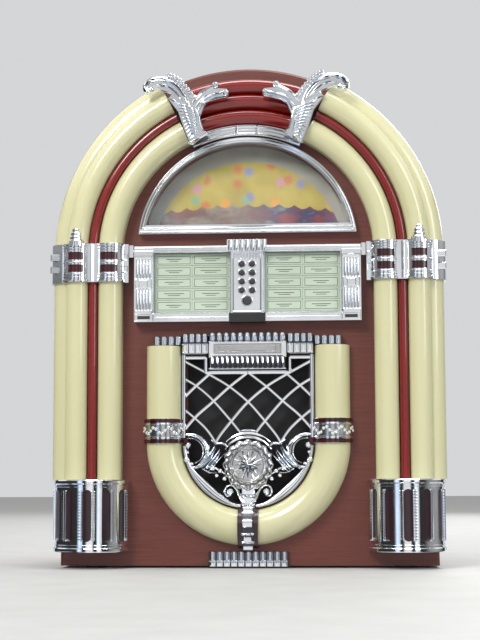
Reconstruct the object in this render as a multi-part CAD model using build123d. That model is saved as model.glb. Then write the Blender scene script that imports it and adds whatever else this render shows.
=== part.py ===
"""Table-top jukebox radio: arch-topped wooden cabinet with cream tubes, chrome trim and a lift-up title door.

Millimetres. X runs to the right, Y from front to back, Z up from the cabinet's underside while a piece is
made. write() then lifts every piece onto the rubber feet, so the saved parts stand on Z = 0.
"proud" is how far a piece stands out in front of the front panel's face.
"""

import os
from math import cos, pi, radians, sin

from build123d import *

# Driving dimensions
CABINET_R = 125.0        # half the cabinet's width, and its arch radius
CABINET_ARCH_Z = 210.0   # height of the cabinet's own arch centre
ARCH_Z = 207.5           # height of the centre that the tubes and the crown turn about
CABINET_DEPTH = 131.7
WALL = 9.5
PAD_HEIGHT = 1.5         # rubber feet under the cabinet
FOOT_X = 103.8           # centre of each chrome foot
FOOT_R = 24.5
FOOT_BAR = 1.8           # how far a foot's serrated bars stand out
FOOT_SLOTS_DEG = (-60, -30, 0, 30, 60)
FOOT_BARS_DEG = (-69.5, -39.5, -9.5, 9.5, 39.5, 69.5)
FOOT_MIDDLE_Z = 33.2     # of its slots and bars
PANEL = 8.0              # front panel thickness
GAP = 0.1                # fit between pieces of one body
COLLAR_GAP = 0.35        # a collar's bore is straight, and the tubes begin to curve inside it
CLEAR = 0.35             # gap between pieces that move past each other
PIN_R = 1.2
RUNNING = 0.05           # radial clearance of a pin or shaft

# The box is centred on Y = 0, so the front face and the back edge follow from the depths.
BACK_Y = (CABINET_DEPTH + FOOT_R + FOOT_BAR) / 2
FRONT_Y = BACK_Y - CABINET_DEPTH
INNER_R = CABINET_R - WALL

# Tube bundle, as distances from the centre line
TUBE_INNER = (84.0, 99.8)
STRIP = (100.1, 106.3)
STRIP_PROUD = 11.5
TUBE_OUTER = (106.6, 121.2)
SIDE_LOBE = 130.8
SIDE_WRAP = 6.0          # how far the side lobe reaches back round the corner
TUBE_END_DEG = 27.0      # where the tubes stop, from the top of the arch
CROWN_HALF_DEG = 25.3    # the crown lens stops a little short of them
CROWN_LOBES = ((86.6, 97.2, 12), (97.2, 107.6, 12.6), (107.6, 117.8, 13))
WING_PROUD = (16.3, 21.5)
COLLAR_Z = (187.5, 213.5)
COLLAR_WALL = 1.8
COLLAR_WINDOWS_Z = (194.0, 202.4)
FOOT_TOP = 56.5
FOOT_BOTTOM = 9.5

# Title door
DOOR_HALF = 75.7
DOOR_Z = (161.0, 212.0)
DOOR_PROUD = (0.7, 8.4)
DOOR_FLOOR = 3.0         # how proud the bottom of the card and keypad pockets is
CARD_X = (11.4, 62.4)
CARD_Z = (167.0, 207.4)
HINGE_Z = 209.0
HINGE_PROUD = 6.5
KEYPAD_HALF = 9.8
KEYPAD_Z = (166.6, 207.6)
KEYPAD_PROUD = 9.6
BUTTON_ROWS = (199.0, 193.1, 187.2, 181.3)
BUTTON_X = 3.45
BUTTON_R = 1.65
SELECT_Z = 174.4
SELECT_R = 2.75

# Control recess behind the door
RECESS_HALF = 66.0
RECESS_Z = (167.5, 206.5)
RECESS_DEPTH = 16.0
KNOB_X = 45.0
KNOB_Z = 187.0
KNOB_R = 9.0
KNOB_FLUTES = 18
SHAFT_R = 3.0
DIAL_Z = 194.0
DIAL_TRAVEL = 22.0       # each way from the middle
SWITCH_Z = 176.0
BOARD_PROUD = -26.0      # front face of the circuit board

# Speaker front
SPEAKER_Z = 88.0
U_CENTRE_Z = 80.8
U_TUBE = (44.4, 67.7)
U_TUBE_TOP = 144.8
GRILLE_HALF = 44.0
GRILLE_TOP = 139.0
MEDALLION_Z = 66.5
MEDALLION_R = 15.9
GRILLE_PROUD = 4.2

# Half-moon window
WINDOW_R = 73.5
WINDOW_Z = 212.5
WINDOW_BASE = 220.7
WINDOW_FRAME = 3.7
WINDOW_BAR = 6.0

# Back
BACK_PANEL = 4.0
BACK_INSET = 3.0
BATTERY_Z = (18.0, 72.0)
BATTERY_HALF = 55.0
BATTERY_DEPTH = 34.0
CELL_R = 13.1
CELL_LENGTH = 50.0
JACK_X = 84.0
JACK_Z = 60.0
SCREW_R = 1.15           # back screws, in a cabinet hole a little wider


def front_plane(proud=0.0):
    """A plane parallel to the front face, facing forward, with X across and Z up."""
    return Plane.XZ.offset(proud - FRONT_Y)


def slab(sketch, low, high):
    """A front-view sketch made solid between two distances proud of the front face."""
    return extrude(front_plane(low) * sketch, amount=high - low)


def block(x, z, low, high):
    """A box between two X, two Z and two proud distances."""
    sketch = Pos((x[0] + x[1]) / 2, (z[0] + z[1]) / 2) * Rectangle(x[1] - x[0], z[1] - z[0])
    return slab(sketch, low, high)


def disc(x, z, radius, low, high):
    return slab(Pos(x, z) * Circle(radius), low, high)


def arch(radius, floor_z=0.0):
    """The cabinet's arch-topped outline: a half circle on straight sides."""
    height = CABINET_ARCH_Z - floor_z
    sides = Pos(0, floor_z + height / 2) * Rectangle(2 * radius, height)
    return sides + Pos(0, CABINET_ARCH_Z) * Circle(radius)


def mirrored(solid):
    return mirror(solid, about=Plane.YZ)


def half_round(low_x, high_x, proud):
    """Section of a tube in a level plane, standing on the front face: straight flanks and a round front."""
    radius = (high_x - low_x) / 2
    middle = (high_x + low_x) / 2
    flank = proud - radius
    body = Pos(middle, FRONT_Y - flank / 2) * Rectangle(2 * radius, flank)
    body += Pos(middle, FRONT_Y - flank) * Circle(radius)
    in_front = Pos(middle, FRONT_Y - proud) * Rectangle(4 * radius, 2 * proud)
    return body & in_front


def round_and_over(section, floor_z, end_deg):
    """A tube section run straight up from floor_z and on round the arch, to end_deg from its top."""
    straight = extrude(Plane.XY.offset(floor_z) * section, amount=ARCH_Z - floor_z)
    turn = revolve(Plane.XY.offset(ARCH_Z) * section, Axis((0, 0, ARCH_Z), (0, -1, 0)), 90 - end_deg)
    return straight + turn


def side_lobe(low_x, high_x, wrap):
    """Section of the narrow lobe that turns the cabinet's front corner."""
    radius = high_x - low_x
    quarter = Pos(low_x, FRONT_Y) * Circle(radius)
    keep = Pos(low_x + radius / 2, FRONT_Y - radius / 2) * Rectangle(radius, radius)
    skirt = Pos(low_x + radius / 2, FRONT_Y + wrap / 2) * Rectangle(radius, wrap)
    return (quarter & keep) + skirt


def cabinet_body(grow):
    """The space that the wooden cabinet fills, grown sideways by a gap."""
    return extrude(front_plane() * arch(CABINET_R + grow, -60), amount=-CABINET_DEPTH)


def write(name, *solids):
    """Saves one piece, or a group of like pieces, lifted by the height of the rubber feet."""
    lifted = [Pos(0, 0, PAD_HEIGHT) * solid for solid in solids]
    shape = lifted[0] if len(lifted) == 1 else Compound(children=lifted)
    export_step(shape, f"parts/{name}.step")


def write_pair(name, right):
    """Writes a piece of the right side and its mirror image on the left."""
    write(f"{name}_right", right)
    write(f"{name}_left", mirrored(right))


# ---------------------------------------------------------------- cabinet

def build_cabinet():
    rebate_y = BACK_Y - BACK_INSET - BACK_PANEL
    rebate_r = INNER_R + 4.5
    outer = extrude(front_plane() * arch(CABINET_R), amount=-CABINET_DEPTH)
    hollow = extrude(front_plane(1) * arch(INNER_R, -5), amount=-CABINET_DEPTH - 2)
    rebate_plane = Plane.XZ.offset(-BACK_Y - 1)
    rebate = extrude(rebate_plane * arch(rebate_r, -5), amount=BACK_Y + 1 - rebate_y)
    shell = outer - hollow - rebate
    for x, z in screw_places():
        shell -= Pos(x, rebate_y, z) * Rot(90, 0, 0) * Cylinder(SCREW_R + RUNNING, 24)
    rim = shell.edges().filter_by(GeomType.CIRCLE).filter_by_position(Axis.Y, FRONT_Y - 0.1, FRONT_Y + 0.1)
    outer_rim = [edge for edge in rim if abs(edge.radius - CABINET_R) < 0.1]
    shell = chamfer(outer_rim, 1.6)
    write("cabinet_shell", shell)

    panel = extrude(front_plane() * arch(INNER_R - GAP / 2), amount=-PANEL)
    panel -= slab(window_outline(WINDOW_R - WINDOW_FRAME, WINDOW_BASE + WINDOW_BAR), -PANEL - 1, 1)
    recess = (-RECESS_HALF, RECESS_HALF)
    panel -= block(recess, RECESS_Z, -PANEL - 1, 1)
    panel -= slab(grille_outline(GRILLE_HALF - 3.5), -PANEL - 1, 1)
    write("front_panel", panel)

    depth = rebate_y - FRONT_Y - PANEL
    board = Pos(0, FRONT_Y + PANEL + depth / 2, 4) * Box(2 * INNER_R, depth, 8)
    write("base_board", board)

    pads = [
        Pos(x, y, -PAD_HEIGHT / 2) * Cylinder(8, PAD_HEIGHT)
        for x in (-FOOT_X, FOOT_X)
        for y in (FRONT_Y + 20, BACK_Y - 20)
    ]
    write("rubber_feet", *pads)


def screw_places():
    """Centres of the back screws, in the shoulder that the back panel lies on."""
    radius = INNER_R + 2.2
    places = [(side * radius, z) for side in (-1, 1) for z in (30.0, 118.0, CABINET_ARCH_Z)]
    high = radius * cos(radians(45))
    places += [(side * high, CABINET_ARCH_Z + high) for side in (-1, 1)]
    return places


def build_back():
    face_y = BACK_Y - BACK_INSET
    plane = Plane.XZ.offset(-face_y)
    panel = extrude(plane * arch(INNER_R + 4.4), amount=BACK_PANEL)
    middle_z = (BATTERY_Z[0] + BATTERY_Z[1]) / 2
    opening = Pos(0, middle_z) * Rectangle(2 * BATTERY_HALF, BATTERY_Z[1] - BATTERY_Z[0])
    panel -= extrude(plane.offset(-1) * opening, amount=BACK_PANEL + 2)
    for row in range(5):
        for column in (-1, 0, 1):
            slot = Pos(column * 46, 130 + 12 * row) * SlotOverall(36, 4)
            panel -= extrude(plane.offset(-1) * slot, amount=BACK_PANEL + 2)
    for x, z in screw_places():
        panel -= Pos(x, face_y - BACK_PANEL / 2, z) * Rot(90, 0, 0) * Cylinder(SCREW_R + 0.15, BACK_PANEL + 2)
    panel -= Pos(JACK_X, face_y - BACK_PANEL / 2, JACK_Z) * Rot(90, 0, 0) * Cylinder(4.1, BACK_PANEL + 2)
    axis_z, axis_y = battery_axis()
    pin_hole = Cylinder(PIN_R + RUNNING, 2 * BATTERY_HALF + 8)
    panel -= Pos(0, axis_y, axis_z) * Rot(0, 90, 0) * pin_hole
    write("back_panel", panel)

    screws = []
    for x, z in screw_places():
        head = Pos(x, face_y + 0.8, z) * Rot(90, 0, 0) * Cylinder(2.0, 1.6)
        shank = Pos(x, face_y - 6, z) * Rot(90, 0, 0) * Cylinder(SCREW_R, 12)
        cross = Pos(x, face_y + 1.4, z) * (Box(2.6, 1.0, 0.6) + Box(0.6, 1.0, 2.6))
        screws.append(head + shank - cross)
    write("back_screws", *screws)

    flange = Pos(JACK_X, face_y + 0.75, JACK_Z) * Rot(90, 0, 0) * Cylinder(5.4, 1.5)
    barrel = Pos(JACK_X, face_y - 6, JACK_Z) * Rot(90, 0, 0) * Cylinder(4.0, 12)
    socket = Pos(JACK_X, face_y - 2.5, JACK_Z) * Rot(90, 0, 0) * Cylinder(2.8, 9)
    pin = Pos(JACK_X, face_y - 4, JACK_Z) * Rot(90, 0, 0) * Cylinder(1.0, 8)
    write("dc_jack", flange + barrel - socket + pin)


def battery_axis():
    """Height and depth of the battery door's hinge pins."""
    return BATTERY_Z[1] - 2.0, BACK_Y - BACK_INSET - BACK_PANEL / 2


def build_battery():
    face_y = BACK_Y - BACK_INSET
    inner_y = face_y - BACK_PANEL
    middle_z = (BATTERY_Z[0] + BATTERY_Z[1]) / 2
    height = BATTERY_Z[1] - BATTERY_Z[0]
    wall = 2.0
    box_y = inner_y - BATTERY_DEPTH / 2
    box = Pos(0, box_y, middle_z) * Box(2 * (BATTERY_HALF + wall), BATTERY_DEPTH, height + 2 * wall)
    box -= Pos(0, box_y + wall, middle_z) * Box(2 * BATTERY_HALF, BATTERY_DEPTH, height)
    write("battery_box", box)

    cells = []
    cell_y = inner_y - BATTERY_DEPTH + wall + CELL_R + 0.2
    for index in range(4):
        x = (index - 1.5) * (2 * CELL_R + 0.4)
        up = 1 if index % 2 == 0 else -1
        can = Pos(x, cell_y, middle_z) * Cylinder(CELL_R, CELL_LENGTH - 2)
        nub = Pos(x, cell_y, middle_z + up * (CELL_LENGTH / 2 - 0.5)) * Cylinder(3.2, 3)
        cells.append(can + nub)
    write("batteries", *cells)

    axis_z, axis_y = battery_axis()
    half = BATTERY_HALF - CLEAR
    thick = BACK_PANEL - 1
    tall = axis_z - BATTERY_Z[0] - CLEAR
    plate = Pos(0, axis_y, axis_z - tall / 2) * Box(2 * half, thick, tall)
    knuckle = Pos(0, axis_y, axis_z) * Rot(0, 90, 0) * Cylinder(thick / 2, 2 * half)
    pins = Pos(0, axis_y, axis_z) * Rot(0, 90, 0) * Cylinder(PIN_R, 2 * BATTERY_HALF + 6)
    door = plate + knuckle + pins
    for rise in (7, 11):
        door += Pos(0, face_y + 0.3, BATTERY_Z[0] + rise) * Box(22, 1.8, 2.2)
    write("battery_door", door)


# ---------------------------------------------------------------- tubes, crown and wings

def build_tubes():
    outer = half_round(*TUBE_OUTER, 16) + side_lobe(TUBE_OUTER[1] - 0.1, SIDE_LOBE, SIDE_WRAP)
    outer_tube = round_and_over(outer, FOOT_TOP, TUBE_END_DEG) - cabinet_body(GAP)
    write_pair("outer_tube", outer_tube)
    inner = half_round(*TUBE_INNER, 15)
    write_pair("inner_tube", round_and_over(inner, FOOT_TOP, TUBE_END_DEG))
    strip = round_and_over(half_round(*STRIP, STRIP_PROUD), FOOT_TOP, TUBE_END_DEG)
    write("red_strips", strip, mirrored(strip))


def ring_sector(section, half_deg):
    """A section in the level plane at the arch's centre, swept half_deg each side of the top."""
    start = Axis((0, 0, ARCH_Z), (0, -1, 0))
    right = Plane.XY.offset(ARCH_Z) * section
    solid = revolve(right, start, 2 * half_deg)
    return solid.rotate(start, 90 - half_deg)


def build_crown():
    section = Pos(102.2, FRONT_Y - 3) * Rectangle(31, 6)
    for lobe in CROWN_LOBES:
        section += half_round(*lobe)
    write("crown_lens", ring_sector(section, CROWN_HALF_DEG))

    trim = Pos(82.7, FRONT_Y - 4.5) * Rectangle(7.2, 9)
    write("crown_arc_trim", ring_sector(trim, TUBE_END_DEG - 0.2))


def wing_outline():
    """The left wing seen from the front: stem, outer curl, beaded ridge and two inner leaves."""
    points = [
        (-38.3, 278.9), (-42.7, 290.0), (-46.6, 302.0), (-53.4, 310.8), (-60.4, 313.0), (-65.2, 312.6),
        (-69.8, 318.6), (-66.2, 324.2), (-59.0, 326.2), (-53.6, 325.2), (-50.1, 328.2), (-43.6, 324.0),
        (-36.7, 314.5), (-29.3, 320.0), (-22.6, 322.0), (-19.8, 317.4), (-12.4, 317.0), (-11.2, 311.6),
        (-20.3, 309.8), (-27.4, 304.5), (-29.6, 297.5), (-27.8, 291.0), (-26.0, 285.6),
    ]
    return make_face(Polyline(*points, close=True))


def build_wings():
    """Each wing stands on a thin post, in the gap between the tubes' ends and the crown lens."""
    wing = slab(wing_outline(), *WING_PROUD)
    post_deg = (TUBE_END_DEG + CROWN_HALF_DEG) / 2
    post_r = (STRIP[0] + STRIP[1]) / 2
    post_x = -post_r * sin(radians(post_deg))
    post_z = ARCH_Z + post_r * cos(radians(post_deg))
    post_face = Pos(post_x, post_z) * Rot(0, 0, post_deg) * Rectangle(1.8, 26)
    wing += slab(post_face, 0, WING_PROUD[0] + 0.1)
    write("wing_left", wing)
    write("wing_right", mirrored(wing))


# ---------------------------------------------------------------- collars and feet

def bundle(grow):
    """Outline of the three tubes together, grown by a thickness."""
    shape = half_round(TUBE_INNER[0] - grow, TUBE_INNER[1] + grow, 15 + grow)
    shape += half_round(TUBE_OUTER[0] - grow, TUBE_OUTER[1] + grow, 16 + grow)
    bridge = STRIP_PROUD + 0.6 + grow
    shape += Pos((STRIP[0] + STRIP[1]) / 2, FRONT_Y - bridge / 2) * Rectangle(9, bridge)
    return shape


def build_collars():
    low, high = COLLAR_Z
    outer_edge = SIDE_LOBE + 1.6
    ring = bundle(COLLAR_WALL) + side_lobe(TUBE_OUTER[1] - 0.1, outer_edge, 7.5)
    ring += Pos(TUBE_INNER[0] - 2.7, FRONT_Y - 4.5) * Rectangle(3.8, 9)
    hole = bundle(COLLAR_GAP) + side_lobe(TUBE_OUTER[1] - 0.1, SIDE_LOBE + COLLAR_GAP, 8)
    collar = extrude(Plane.XY.offset(low) * (ring - hole), amount=high - low)
    window_boxes = []
    for z in COLLAR_WINDOWS_Z:
        for edges in (TUBE_INNER, TUBE_OUTER):
            window_boxes.append(block((edges[0] + 2.2, edges[1] - 2.2), (z, z + 5.0), 8, 20))
    inserts = []
    insert_ring = bundle(1.1) - bundle(COLLAR_GAP)
    insert_bar = extrude(Plane.XY.offset(low) * insert_ring, amount=high - low)
    for box in window_boxes:
        collar -= box
        inserts.append(insert_bar & box)
    finial_x = (TUBE_OUTER[0] + TUBE_OUTER[1]) / 2
    finial = Pos(finial_x, FRONT_Y - 13.5, 0) * revolve(Plane.XZ * finial_profile(high), Axis.Z)
    cheek = Pos(finial_x, FRONT_Y - 13.5, high - 1) * Cylinder(5.6, 2)
    collar += (finial + cheek) - round_and_over(bundle(COLLAR_GAP), low - 5, 60)
    write_pair("collar", collar)
    solids = [solid for insert in inserts for solid in insert.solids()]
    solids += [mirrored(solid) for solid in list(solids)]
    write("collar_windows", *solids)


def finial_profile(floor_z):
    """Half profile of a beehive finial with four rounded steps."""
    steps = 4
    top = 10.4
    base_r = 5.2
    points = [(0, floor_z - 0.5), (base_r, floor_z - 0.5)]
    for step in range(steps):
        radius = base_r - 0.65 * step
        z = floor_z + top * step / steps
        points += [(radius, z + 1.6), (radius - 0.7, z + 2.5)]
    points += [(0, floor_z + top + 0.6)]
    return make_face(Polyline(*points, close=True))


def build_feet():
    front_half = Pos(FOOT_X, FRONT_Y - 20, 33) * Box(60, 40, 60)
    height = FOOT_TOP - FOOT_BOTTOM
    middle = (FOOT_TOP + FOOT_BOTTOM) / 2
    outer = Pos(FOOT_X, FRONT_Y, middle) * Cylinder(FOOT_R, height)
    inner = Pos(FOOT_X, FRONT_Y, middle) * Cylinder(FOOT_R - 1.6, height - 3.2)
    foot = (outer - inner) & front_half
    slot_face = Pos(0, FOOT_MIDDLE_Z) * SlotOverall(33.5, 5.9, rotation=90)
    slot = extrude(Plane.XZ * slot_face, amount=40)
    for deg in FOOT_SLOTS_DEG:
        foot -= Pos(FOOT_X, FRONT_Y, 0) * Rot(0, 0, deg) * slot
    bar = Pos(0, -FOOT_R - FOOT_BAR / 2 + 0.4, FOOT_MIDDLE_Z) * Box(1.5, FOOT_BAR + 0.8, 33)
    for deg in FOOT_BARS_DEG:
        foot += Pos(FOOT_X, FRONT_Y, 0) * Rot(0, 0, deg) * bar
    write_pair("foot", foot)

    sleeve = Cylinder(FOOT_R - 1.7, height - 3.4) - Cylinder(FOOT_R - 2.6, height)
    liner = (Pos(FOOT_X, FRONT_Y, middle) * sleeve) & front_half
    write("foot_liners", liner, mirrored(liner))


# ---------------------------------------------------------------- half-moon window

def window_outline(radius, base_z):
    """Half-moon: the part of a circle above its base line."""
    circle = Pos(0, WINDOW_Z) * Circle(radius)
    return circle & (Pos(0, base_z + 100) * Rectangle(400, 200))


def build_window():
    outer = window_outline(WINDOW_R, WINDOW_BASE)
    inner = window_outline(WINDOW_R - WINDOW_FRAME, WINDOW_BASE + WINDOW_BAR)
    frame = slab(outer - inner, 0, 6)
    write("window_frame", frame)

    lens_r = WINDOW_R - WINDOW_FRAME - GAP
    cut = slab(window_outline(lens_r, WINDOW_BASE + WINDOW_BAR + GAP), 0, 12)
    ball_r = 290.0
    dome = Pos(0, FRONT_Y - 8.5 + ball_r, 248) * (Sphere(ball_r) - Sphere(ball_r - 1.4))
    write("window_lens", cut & dome)

    card_plane = -PANEL
    card = slab(window_outline(WINDOW_R - 1.5, WINDOW_BASE + 3), card_plane - 1.2, card_plane)
    write("window_picture", card)

    stalk = block((-6, 6), (240, 262), card_plane - 3.2, card_plane - 1.2)
    socket = Pos(0, FRONT_Y + PANEL + 7.2, 251) * Rot(90, 0, 0) * Cylinder(5, 8)
    bulb = Pos(0, FRONT_Y + PANEL + 11.2, 251) * Sphere(4)
    write("window_lamp", stalk + socket + bulb)


# ---------------------------------------------------------------- title door and buttons

def build_door():
    outer = block((-DOOR_HALF, DOOR_HALF), DOOR_Z, *DOOR_PROUD)
    back_top = (0, FRONT_Y - DOOR_PROUD[0], DOOR_Z[1])
    back_top_edge = outer.edges().filter_by(Axis.X).sort_by_distance(back_top)[0]
    outer = chamfer(back_top_edge, 2.6)
    floor = DOOR_FLOOR
    for side in (-1, 1):
        outer -= block(sorted((side * CARD_X[0], side * CARD_X[1])), CARD_Z, floor, 20)
    outer -= block((-KEYPAD_HALF - GAP, KEYPAD_HALF + GAP), (KEYPAD_Z[0] - GAP, KEYPAD_Z[1] + GAP), floor, 20)
    outer -= block((-12.2, 12.2), (DOOR_Z[0] - 1, KEYPAD_Z[0] - 0.3), floor, 20)
    for side in (-1, 1):
        pillar = side * (DOOR_HALF - 6.4)
        outer += block((pillar - 5.8, pillar + 5.8), (DOOR_Z[0] + 5, DOOR_Z[1] - 8), 8.3, 9.6)
    pin_hole = Cylinder(PIN_R + RUNNING, 6.0)
    for side in (-1, 1):
        outer -= Pos(side * (DOOR_HALF - 2.9), FRONT_Y - HINGE_PROUD, HINGE_Z) * Rot(0, 90, 0) * pin_hole
    write("title_frame", outer)

    cards = []
    for side in (-1, 1):
        x = sorted((side * (CARD_X[0] + 0.2), side * (CARD_X[1] - 0.2)))
        cards.append(block(x, (CARD_Z[0] + 0.2, CARD_Z[1] - 0.2), floor, floor + 1.4))
    write("title_cards", *cards)

    keypad = block((-KEYPAD_HALF, KEYPAD_HALF), KEYPAD_Z, floor, KEYPAD_PROUD)
    hollow = (KEYPAD_Z[0] + 2, KEYPAD_Z[1] - 2)
    keypad -= block((-KEYPAD_HALF + 1.6, KEYPAD_HALF - 1.6), hollow, floor - 1, KEYPAD_PROUD - 1.6)
    for x, z, radius in button_places():
        keypad -= disc(x, z, radius + 0.25, 0, 20)
    keypad += block((-13.2, 13.2), (207.2, 215.4), 8.6, 12.0)
    write("keypad_plate", keypad)

    board_half = KEYPAD_HALF - 1.8
    board = block((-board_half, board_half), (hollow[0] + 0.2, hollow[1] - 0.2), floor + 0.2, floor + 1.4)
    write("keypad_board", board)

    tab = block((-12, 12), (160.2, KEYPAD_Z[0] - 0.5), floor, 11.4)
    tab -= block((-10.5, 10.5), (159, 163.2), floor + 1, 9.2)
    write("door_pull", tab)

    brackets = []
    for side in (-1, 1):
        x = sorted((side * (DOOR_HALF + 0.4), side * (DOOR_HALF + 3.2)))
        ear = block(x, (204.4, 212.6), 0, 9.2)
        pin = Cylinder(PIN_R, 5.6)
        ear += Pos(side * (DOOR_HALF - 1.7), FRONT_Y - HINGE_PROUD, HINGE_Z) * Rot(0, 90, 0) * pin
        brackets.append(ear)
    write("hinge_brackets", *brackets)


def button_places():
    places = [(x, z, BUTTON_R) for z in BUTTON_ROWS for x in (-BUTTON_X, BUTTON_X)]
    places.append((0.0, SELECT_Z, SELECT_R))
    return places


def build_buttons():
    for number, (x, z, radius) in enumerate(button_places(), start=1):
        cap = disc(x, z, radius, 6.6, KEYPAD_PROUD + 1.5)
        rim = cap.edges().filter_by(GeomType.CIRCLE).sort_by(Axis.Y)[0]
        cap = fillet(rim, 0.6)
        cap += disc(x, z, radius + 0.8, 6.0, 7.0)
        name = f"button_{number}" if number < 9 else "select_button"
        write(name, cap)


# ---------------------------------------------------------------- controls behind the door

def build_controls():
    x = (-RECESS_HALF + GAP, RECESS_HALF - GAP)
    z = (RECESS_Z[0] + GAP, RECESS_Z[1] - GAP)
    wall = 1.6
    face = -RECESS_DEPTH + 2
    tray = block(x, z, -RECESS_DEPTH, -0.2)
    tray -= block((x[0] + wall, x[1] - wall), (z[0] + wall, z[1] - wall), face, 1)
    dial_half = DIAL_TRAVEL + 2
    tray -= block((-dial_half, dial_half), (DIAL_Z - 1, DIAL_Z + 1), -20, 1)
    tray -= block((-6.5, 6.5), (SWITCH_Z - 1.2, SWITCH_Z + 1.2), -20, 1)
    for side in (-1, 1):
        tray -= disc(side * KNOB_X, KNOB_Z, SHAFT_R + RUNNING, -20, 1)
        for post_z in (RECESS_Z[0] + 4, RECESS_Z[1] - 4):
            tray += disc(side * 58, post_z, 3, BOARD_PROUD, -RECESS_DEPTH)
    write("control_panel", tray)

    for name, side in (("tuning_knob", 1), ("volume_knob", -1)):
        knob = disc(side * KNOB_X, KNOB_Z, KNOB_R, face + 0.5, -1.5)
        rim = knob.edges().filter_by(GeomType.CIRCLE).sort_by(Axis.Y)[0]
        knob = fillet(rim, 1.0)
        flute_at = KNOB_R + 0.4
        for step in range(KNOB_FLUTES):
            turn = 2 * pi * step / KNOB_FLUTES
            flute_x = side * KNOB_X + flute_at * cos(turn)
            knob -= disc(flute_x, KNOB_Z + flute_at * sin(turn), 0.9, face, 0)
        knob -= block((side * KNOB_X - 0.5, side * KNOB_X + 0.5), (KNOB_Z + 3, KNOB_Z + 8), -2.2, 0)
        knob += disc(side * KNOB_X, KNOB_Z, SHAFT_R, BOARD_PROUD + 2, face + 0.6)
        write(name, knob)

    pointer = block((-0.6, 0.6), (DIAL_Z - 5, DIAL_Z + 5), face + 0.4, face + 1.4)
    pointer += block((-0.6, 0.6), (DIAL_Z - 0.7, DIAL_Z + 0.7), -RECESS_DEPTH - 2.5, face + 0.5)
    pointer += block((-4, 4), (DIAL_Z - 3, DIAL_Z + 3), -RECESS_DEPTH - 2.5, -RECESS_DEPTH - 0.6)
    write("dial_pointer", pointer)

    switch = block((-6.2, -0.2), (SWITCH_Z - 2.5, SWITCH_Z + 2.5), face + 0.4, face + 5)
    switch += block((-4.4, -2), (SWITCH_Z - 0.9, SWITCH_Z + 0.9), -20, face + 0.5)
    write("band_switch", switch)

    back = BOARD_PROUD - 1.6
    board = block((-62, 62), (150, 204), back, BOARD_PROUD)
    components = [(-35, 165, 14, 9, 6), (0, 160, 20, 20, 4), (30, 165, 10, 10, 9), (-10, 190, 8, 14, 7)]
    for middle_x, middle_z, width, height, tall in components:
        x = (middle_x - width / 2, middle_x + width / 2)
        z = (middle_z - height / 2, middle_z + height / 2)
        board += block(x, z, back - tall, back + 0.6)
    write("circuit_board", board)


# ---------------------------------------------------------------- speaker front

def grille_outline(half):
    """U-shaped outline, as wide as the U-tube's inside less any margin."""
    top = Pos(0, (GRILLE_TOP + U_CENTRE_Z) / 2) * Rectangle(2 * half, GRILLE_TOP - U_CENTRE_Z)
    return top + Pos(0, U_CENTRE_Z) * Circle(half)


def u_section(grow):
    return half_round(U_TUBE[0] - grow, U_TUBE[1] + grow, 12.4 + grow)


def u_sleeve(thick):
    """Section of a sleeve over the U-tube, notched at its inner side where the grille's edge passes."""
    notch = Pos(U_TUBE[0] - 3, FRONT_Y - GRILLE_PROUD / 2) * Rectangle(6, GRILLE_PROUD + 0.2)
    return u_section(thick) - u_section(GAP) - notch


def u_ring(section, start_deg, end_deg):
    """A section at the U's right side, turned about the U's centre between two angles below level."""
    axis = Axis((0, 0, U_CENTRE_Z), (0, 1, 0))
    solid = revolve(Plane.XY.offset(U_CENTRE_Z) * section, axis, end_deg - start_deg)
    return solid.rotate(axis, start_deg)


def build_u_tube():
    section = u_section(0)
    right = extrude(Plane.XY.offset(U_CENTRE_Z) * section, amount=U_TUBE_TOP - U_CENTRE_Z)
    right += u_ring(section, 0, 89.9)
    write_pair("u_tube", right)

    band = extrude(Plane.XY.offset(80.2) * u_sleeve(1.4), amount=16.2)
    write("u_bands", band, mirrored(band))

    clasp = u_ring(u_sleeve(1.6), 90 - 7.2, 90 + 7.2)
    write("u_clasp", clasp)


def build_grille():
    outline = grille_outline(GRILLE_HALF - 0.1)
    rim = outline - grille_outline(GRILLE_HALF - 2.6)
    rim &= Pos(0, 40) * Rectangle(120, 178)
    lattice = rim
    for step in range(-5, 6):
        for lean in (-1, 1):
            bar = Pos(lean * step * 21.0, 96) * Rot(0, 0, lean * 42) * Rectangle(220, 1.9)
            lattice += bar
    lattice &= outline & (Pos(0, 75) * Rectangle(120, 107.8))
    back = 1.0
    plate = slab(lattice, back, GRILLE_PROUD)
    plate += disc(0, MEDALLION_Z, MEDALLION_R, back, 6.4)
    plate += disc(0, MEDALLION_Z, 11.3, 6.3, 8.0)
    plate += block((-3.2, 3.2), (37.5, 52), back, 6.0)
    write("grille", plate)

    crown = block((-25.8, 25.8), (129.2, 153.4), 0, 9)
    crown += block((-43.8, 43.8), (139.4, 153.0), 0, 8)
    crown += block((-62.8, 62.8), (145.0, 151.4), 0, 8)
    crown += block((-25.0, 25.0), (129.2, 137), 8.9, 12)
    write("grille_crown", crown)

    trim = block((-26.3, 26.3), (-0.6, 9.4), 0, 5)
    write("bottom_trim", trim)

    cloth = extrude(front_plane(-PANEL) * grille_outline(GRILLE_HALF + 1.4), amount=-0.8)
    write("grille_cloth", cloth)


def build_speaker():
    """Basket with its magnet, and the cone, turned about the speaker's own axis."""
    mouth = PANEL + 0.8
    basket = Polyline(
        (33.5, mouth), (42, mouth), (42, mouth + 2), (36, mouth + 2), (20, mouth + 22), (20, mouth + 26),
        (27, mouth + 26), (27, mouth + 38), (0, mouth + 38), (0, mouth + 24), (18, mouth + 24),
        (18, mouth + 21), close=True,
    )
    cone = Polyline(
        (32.4, mouth + 0.2), (31.4, mouth + 1.2), (9, mouth + 19), (0, mouth + 17), (0, mouth + 16),
        (9, mouth + 17.6), close=True,
    )
    for name, profile in (("speaker_basket", basket), ("speaker_cone", cone)):
        turned = revolve(Plane.XY * make_face(profile), Axis.Y)
        write(name, Pos(0, FRONT_Y, SPEAKER_Z) * turned)


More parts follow.
